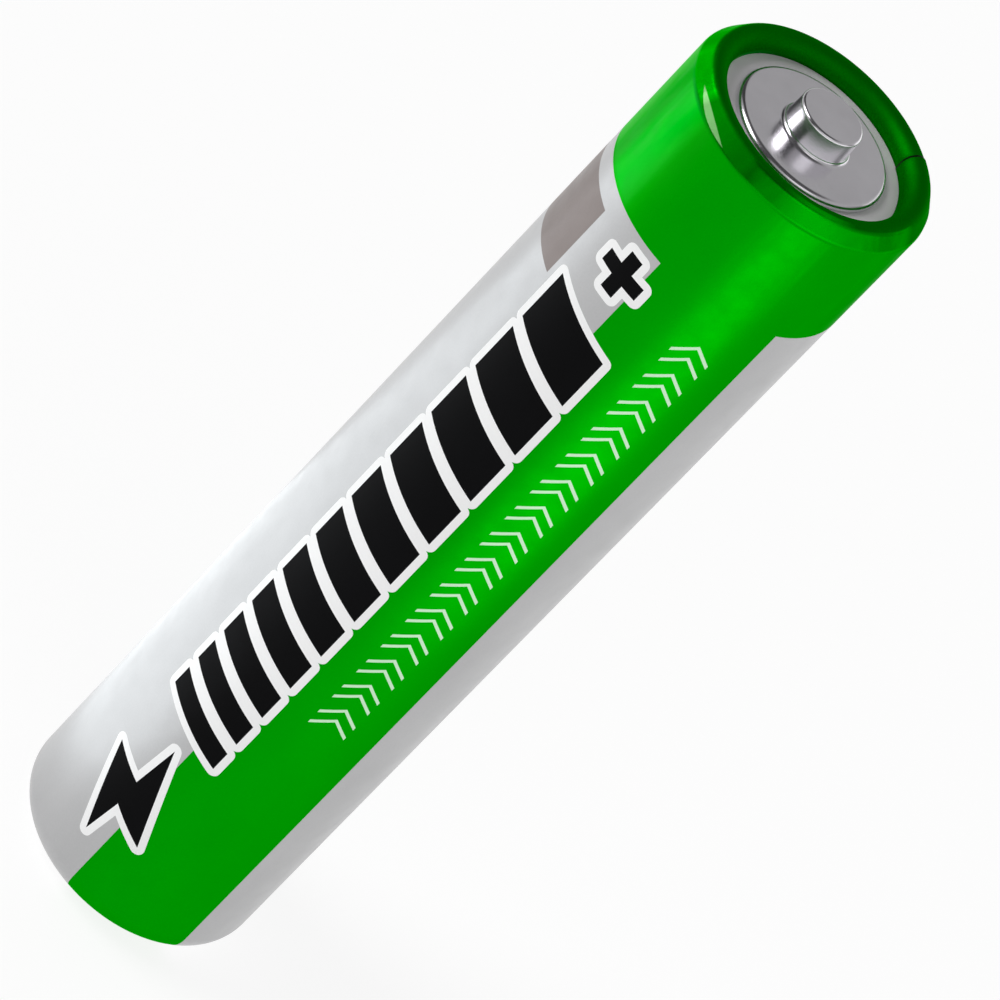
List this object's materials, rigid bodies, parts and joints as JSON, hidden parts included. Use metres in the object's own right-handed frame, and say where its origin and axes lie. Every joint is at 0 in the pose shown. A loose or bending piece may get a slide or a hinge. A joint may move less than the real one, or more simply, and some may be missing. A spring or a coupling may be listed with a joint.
{
  "type": "cylindrical battery cell",
  "caption": "Slim upright cylindrical dry cell: a printed film sleeve over a crimped steel can, a raised nub contact at one end and a flat contact at the other.",
  "frame": {"origin": "centre of the negative contact face, which the cell stands on", "axes": "+Z runs along the cell's axis from the negative contact face to the positive nub; the cell is round about Z"},
  "size_m": [0.01, 0.01, 0.0445],
  "materials": {
    "label_film": "glossy printed shrink film, green with silver panels",
    "nickel_steel": "satin nickel plate",
    "cathode_mix": "matt black pressed powder",
    "separator_paper": "fibrous off-white paper",
    "zinc_gel": "grey metallic gel",
    "brass": "drawn and bright",
    "nylon": "moulded, translucent off-white",
    "bitumen": "black tacky film",
    "plain_steel": "pressed, unplated"
  },
  "bodies": {
    "root": {"label_sleeve": "label_film", "steel_can": "nickel_steel", "positive_cap": "nickel_steel", "cathode_ring_1": "cathode_mix", "cathode_ring_2": "cathode_mix", "cathode_ring_3": "cathode_mix", "cathode_ring_4": "cathode_mix", "separator_outer_wrap": "separator_paper", "separator_inner_wrap": "separator_paper", "separator_end_disc": "separator_paper", "anode_gel": "zinc_gel", "collector_nail": "brass", "seal_gasket": "nylon", "sealant_band": "bitumen", "support_washer": "plain_steel", "negative_cap": "nickel_steel"}
  },
  "joints": []
}
